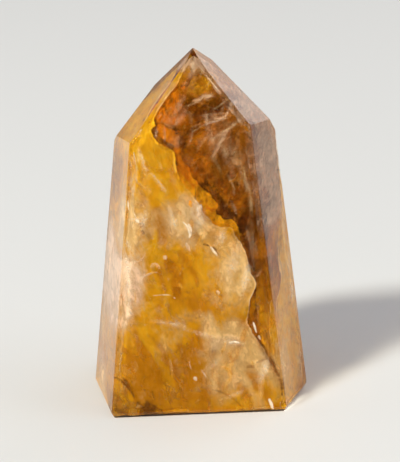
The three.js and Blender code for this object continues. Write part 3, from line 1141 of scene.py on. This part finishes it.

# Fresh fractures, painted white for the glint where they catch the light: whiteness, half width, then x, z,
# length, lean and bow.
FRESH = [
    (0.9, 0.20, -4, 42, 3, 25, 0.3),
    (1.0, 0.50, -3, 41.5, 3, 5, 0.3),
    (1.0, 0.30, 1.5, 36.5, 2.5, 35, 0),
    (0.5, 0.50, -11, 32.5, 2, 80, 0.8),
    (0.5, 0.30, -9.5, 31.5, 3.5, -70, -0.3),
    (0.5, 0.25, -12, 35.5, 2.5, -45, 0.3),
    (0.6, 0.60, -8, 35, 1, 20, 0),
    (0.7, 0.15, -14, 44.5, 2, 20, 0),
    (0.7, 0.12, -15, 43, 2.5, 90, 0),
    (0.9, 0.45, -13.5, 43, 1, 30, 0),
    (0.6, 0.40, -3.5, 37.5, 2, 25, 0),
    (0.7, 0.80, -0.5, 45.5, 2.5, -10, 0.2),
    (0.9, 0.15, -15, 47, 2, 0, 0),
    (0.8, 0.12, -10.5, 26.5, 3.5, 90, 0.1),
    (0.9, 0.30, 10, 20, 2.5, 15, 0),
    (0.9, 0.35, 11, 17, 1, 25, 0),
    (0.9, 0.40, 5, 15.5, 2, 90, 0.2),
    (0.9, 0.50, -2.5, 8.5, 1, 25, 0),
    (0.6, 0.20, -3.5, 12, 2, 10, 0),
    (0.6, 0.20, -1, 10, 2, 30, 0),
    (1.0, 0.40, 13, 3, 2.5, 20, 0),
    (0.6, 0.15, 2, 70.5, 4.5, 40, 0),
    (0.6, 0.15, -13.5, 57, 2.5, 5, 0),
    (0.6, 0.40, -16, 58, 1, 35, 0),
    (0.7, 0.40, 2.5, 27, 1, 40, 0),
]
# Thin stained cracks: darkness, half width, then x, z, length, lean and bow.
CRACKS = [
    (1.0, 0.50, -19, 9, 6, 40, 0.6),
    (0.7, 0.35, -17.5, 9, 3.5, 40, 0),
    (1.0, 0.40, -10, 2, 1.5, 35, 0),
    (0.6, 0.30, -7.5, 12, 3, 0, 0),
    (0.5, 0.30, -9, 7.5, 1.5, 30, 0),
    (0.5, 0.30, -11.5, 6, 2.5, 15, 0),
    (0.6, 0.50, -12.5, 40.5, 1, 35, 0),
    (1.0, 0.35, 0, 37, 1.5, 70, 0.2),
    (1.0, 0.40, 2, 36.5, 1.5, 35, 0),
    (0.5, 0.40, 10.5, 11, 2.5, 110, 0),
    (0.3, 0.30, -12.5, 20.5, 7, 92, -0.3),
    (0.4, 0.45, 1, 5.5, 8, 55, 0.8),
]


class QUARTZ_OT_healed_fractures(bpy.types.Operator):
    """Strews small curled healed fractures through the crystal"""

    bl_idname = "quartz.healed_fractures"
    bl_label = "Healed fractures"

    def execute(self, context):
        tints, numbers = colours(), sizes()
        golden = (tints.amber, tints.gold, tints.milk)
        smoky = (tints.umber, tints.bronze, tints.haze)
        plans = (
            ("golden_drapes", 4, (1.0, 5.0), (1.0, 3.2), (3.0, 8.0), 0.6, golden),
            ("golden_flakes", 5, (0.7, 3.0), (0.25, 1.1), (0.7, 2.6), 0.6, golden),
            ("smoky_drapes", 8, (1.0, 5.0), (1.0, 2.6), (2.5, 6.0), 0.4, smoky),
            ("smoky_flakes", 6, (0.8, 5.0), (0.25, 1.0), (0.6, 2.6), 0.6, smoky),
        )
        for name, seed, depths, widths, heights, cover, tones in plans:
            rng = np.random.default_rng(seed)
            pile = Pile()
            for spot in strewn_spots(rng, getattr(numbers, name), tones is golden, *depths):
                facing = NORMALS[nearest_facet(spot)] + rng.normal(0, 0.4, 3)
                half_width, half_height = rng.uniform(*widths), rng.uniform(*heights)
                turn, curl = rng.normal(0, 0.4), rng.normal(0, 0.4) * half_width
                tint = rng.uniform(0, 1)
                pile.add(tint, spot, facing, turn, half_width, half_height, curl, int(rng.integers(1, 900)))
            pile.piece(name, flake_material(name, *tones, cover))
        return {"FINISHED"}


class QUARTZ_OT_pale_wisps(bpy.types.Operator):
    """Adds the pale feathered wisps just behind the front"""

    bl_idname = "quartz.pale_wisps"
    bl_label = "Pale wisps"

    def execute(self, context):
        name, tints = "pale_wisps", colours()
        pile, stretch, curl, shoulder = Pile(), 1.3, 0.25, 58
        for number, (x, depth, z, half_width, half_height, turn, tint) in enumerate(WISPS):
            size = (stretch * half_width, stretch * half_height, curl * half_width)
            facing = (0, -1, 0.1 if z < shoulder else 0.7)
            shape = (behind_front(x, z, depth), facing, turn, *size, number)
            pile.add(tint, *shape, across_count=12, up_count=20)
        pile.piece(name, flake_material(name, tints.haze, tints.milk, tints.frost_and_glint, 0.45, 0.7, 1.0))
        return {"FINISHED"}


class QUARTZ_OT_fresh_fractures(bpy.types.Operator):
    """Adds the small fractures, painted white for the glint where they catch the light"""

    bl_idname = "quartz.fresh_fractures"
    bl_label = "Fresh fractures"

    def execute(self, context):
        name, tints, numbers = "fresh_fractures", colours(), sizes()
        rng = np.random.default_rng(21)
        pile = Pile()
        for white, half_width, *path in FRESH:
            pile.add_ribbon(white, bowed(*path), half_width, millimetres("crack_depth"))
        # Strewn glints: small flakes painted pale, a painted glint.
        for golden, count in ((True, numbers.golden_glints), (False, numbers.smoky_glints)):
            for spot in strewn_spots(rng, count, golden, 0.6, 2.5):
                facing = NORMALS[nearest_facet(spot)] + rng.normal(0, 0.3, 3)
                size = rng.uniform(0.08, 0.28)
                shape = (size, size * rng.uniform(0.8, 3.0), 0.3 * size, int(rng.integers(1, 900)))
                pile.add(rng.uniform(0.0, 0.9), spot, facing, rng.normal(0, 0.8), *shape)
        pile.piece(name, flake_material(name, tints.milk, tints.peach, tints.frost_and_glint, 1.0, 0.35, 0.8, 0.3))
        return {"FINISHED"}


class QUARTZ_OT_stained_cracks(bpy.types.Operator):
    """Adds the thin brown cracks near the front"""

    bl_idname = "quartz.stained_cracks"
    bl_label = "Stained cracks"

    def execute(self, context):
        name, tints = "stained_cracks", colours()
        pile, depth = Pile(), millimetres("crack_depth") + 0.1
        pile.add_ribbon(0.9, along_break(17, 3.5, 0.1), 0.75, depth)
        pile.add_ribbon(0.7, along_break(24.5, 19.5), 0.3, depth)
        for dark, half_width, *path in CRACKS:
            pile.add_ribbon(dark, bowed(*path), half_width, depth)
        pile.piece(name, flake_material(name, tints.bronze, tints.stain, tints.stain, 1.0, 0.8, 0.9, 0.25))
        return {"FINISHED"}


# ---- the polished crystal --------------------------------------------------------------


class QUARTZ_OT_crystal(bpy.types.Operator):
    """Makes the crystal clear, golden quartz with polished facets"""

    bl_idname = "quartz.crystal"
    bl_label = "Polished crystal"

    def execute(self, context):
        wiring = Wiring("polished_quartz")
        polish = wiring.node(
            "ShaderNodeBsdfPrincipled",
            {
                "Base Color": (1, 1, 1),
                "Transmission Weight": 1.0,
                "IOR": sizes().ior,
                "Roughness": 0.0,
                "Specular Tint": (0.5, 0.2, 0.05),
            },
        ).outputs[0]
        lamp_light = wiring.node("ShaderNodeBsdfTransparent", {"Color": (0.95, 0.93, 0.9)}).outputs[0]
        shadow = wiring.node("ShaderNodeLightPath").outputs["Is Shadow Ray"]
        wiring.feed(wiring.output.inputs["Surface"], wiring.mix(shadow, polish, lamp_light))
        tint = {"Color": tuple(colours().body), "Density": sizes().density}
        body = wiring.node("ShaderNodeVolumeAbsorption", tint)
        wiring.feed(wiring.output.inputs["Volume"], body.outputs[0])
        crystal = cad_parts[CRYSTAL]
        crystal.data.materials.clear()
        crystal.data.materials.append(wiring.material)
        return {"FINISHED"}


# ---- stage -----------------------------------------------------------------------------

LAMPS_AIM = Vector((0, 0, 35)) * MM
# What the camera looks at, how far off it stands, how far the middle of the view lies right of and
# below that place (mm), and how far the camera is rolled (degrees).
LOOKED_AT = Vector((-0.55, -0.13, 38)) * MM
CAMERA_AWAY = 450 * MM
VIEW_RIGHT, VIEW_DOWN = 1.14, 2.59
ROLL = math.radians(-1.25)
FLOOR_HALF_WIDTH = 2.5


def aimed(azimuth, elevation):
    """Unit vector from the crystal towards a place round it; azimuth 0 is in front (radians)."""
    flat = math.cos(elevation)
    return Vector((math.sin(azimuth) * flat, -math.cos(azimuth) * flat, math.sin(elevation)))


def add_lamp(name, azimuth, elevation, distance, width, watts, tint):
    """A round soft lamp that the camera doesn't see; angles in degrees, lengths in metres."""
    data = bpy.data.lights.new(name, "AREA")
    data.shape, data.size, data.energy, data.color = "DISK", width, watts, tint
    lamp = bpy.data.objects.new(name, data)
    bpy.context.scene.collection.objects.link(lamp)
    lamp.visible_camera = False
    away = aimed(math.radians(azimuth), math.radians(elevation))
    lamp.location = away * distance + LAMPS_AIM
    lamp.rotation_mode = "QUATERNION"
    lamp.rotation_quaternion = away.to_track_quat("Z", "Y")


def add_camera(azimuth, elevation, lens):
    """A camera that stands off in that direction (radians) and looks at the crystal."""
    back = aimed(azimuth, elevation)
    right = Vector((-back.y, back.x, 0)).normalized()
    up = back.cross(right)
    eye = LOOKED_AT + back * CAMERA_AWAY
    middle = LOOKED_AT + right * VIEW_RIGHT * MM - up * VIEW_DOWN * MM
    away = (eye - middle).normalized()
    side = up.cross(away).normalized()
    level = Matrix((side, away.cross(side), away)).transposed()
    turn = level @ Matrix.Rotation(ROLL, 3, "Z")
    data = bpy.data.cameras.new("camera")
    data.lens, data.sensor_width, data.clip_start, data.clip_end = lens, 36, 0.02, 20
    camera = bpy.data.objects.new("camera", data)
    bpy.context.scene.collection.objects.link(camera)
    camera.matrix_world = Matrix.Translation(eye) @ turn.to_4x4()
    bpy.context.scene.camera = camera


def add_floor(colour):
    shape = bmesh.new()
    bmesh.ops.create_grid(shape, x_segments=1, y_segments=1, size=FLOOR_HALF_WIDTH)
    mesh = bpy.data.meshes.new("floor")
    shape.to_mesh(mesh)
    shape.free()
    floor = bpy.data.objects.new("floor", mesh)
    bpy.context.scene.collection.objects.link(floor)
    wiring = Wiring("pale_floor")
    paint = wiring.node("ShaderNodeBsdfPrincipled", {"Base Color": tuple(colour), "Roughness": 0.75})
    wiring.feed(wiring.output.inputs["Surface"], paint.outputs[0])
    mesh.materials.append(wiring.material)


class QUARTZ_OT_stage(bpy.types.Operator):
    """Sets up the pale floor, the soft lamps and the camera"""

    bl_idname = "quartz.stage"
    bl_label = "Stage"

    def execute(self, context):
        scene, stage = context.scene, context.scene.quartz_stage
        warm, pale = (1, 1, 0.9), (1, 0.97, 0.95)
        add_camera(stage.azimuth, stage.elevation, stage.lens)
        add_lamp("key", -50, 42, 2.0, 0.27, stage.key_power, warm)
        add_lamp("back_panel", 128, 20, 1.6, 1.3, stage.back_power, pale)
        add_lamp("right_panel", 75, 18, 1.5, 1.3, stage.right_power, pale)
        add_floor(stage.floor_colour)
        scene.world = bpy.data.worlds.new("studio")
        scene.world.use_nodes = True
        sky = scene.world.node_tree.nodes["Background"]
        sky.inputs["Color"].default_value = (*stage.sky_colour, 1)
        sky.inputs["Strength"].default_value = stage.sky_strength
        scene.view_settings.view_transform = "Standard"
        scene.cycles.transparent_max_bounces = 64
        scene.cycles.transmission_bounces = 16
        return {"FINISHED"}


# ---- panel and registration ------------------------------------------------------------


class QUARTZ_PT_panel(bpy.types.Panel):
    bl_label = "Quartz tower"
    bl_space_type = "VIEW_3D"
    bl_region_type = "UI"
    bl_category = "Quartz"

    def draw(self, context):
        for operator in OPERATORS:
            self.layout.operator(operator.bl_idname)
        for place, kind in SETTINGS.items():
            box = self.layout.box()
            for name in kind.__annotations__:
                box.prop(getattr(context.scene, place), name)


SETTINGS = {"quartz_colours": QuartzColours, "quartz_sizes": QuartzSizes, "quartz_stage": QuartzStage}
OPERATORS = (
    QUARTZ_OT_crystal,
    QUARTZ_OT_curtain,
    QUARTZ_OT_foot_veil,
    QUARTZ_OT_broken_rim,
    QUARTZ_OT_smoky_veils,
    QUARTZ_OT_healed_fractures,
    QUARTZ_OT_pale_wisps,
    QUARTZ_OT_fresh_fractures,
    QUARTZ_OT_stained_cracks,
    QUARTZ_OT_stage,
)
CLASSES = (*SETTINGS.values(), *OPERATORS, QUARTZ_PT_panel)


def register():
    for kind in CLASSES:
        bpy.utils.register_class(kind)
    for place, kind in SETTINGS.items():
        setattr(bpy.types.Scene, place, PointerProperty(type=kind))


def unregister():
    for place in SETTINGS:
        delattr(bpy.types.Scene, place)
    for kind in reversed(CLASSES):
        bpy.utils.unregister_class(kind)


def main():
    register()
    for operator in OPERATORS:
        group, name = operator.bl_idname.split(".")
        getattr(getattr(bpy.ops, group), name)()


if __name__ == "__main__":
    main()
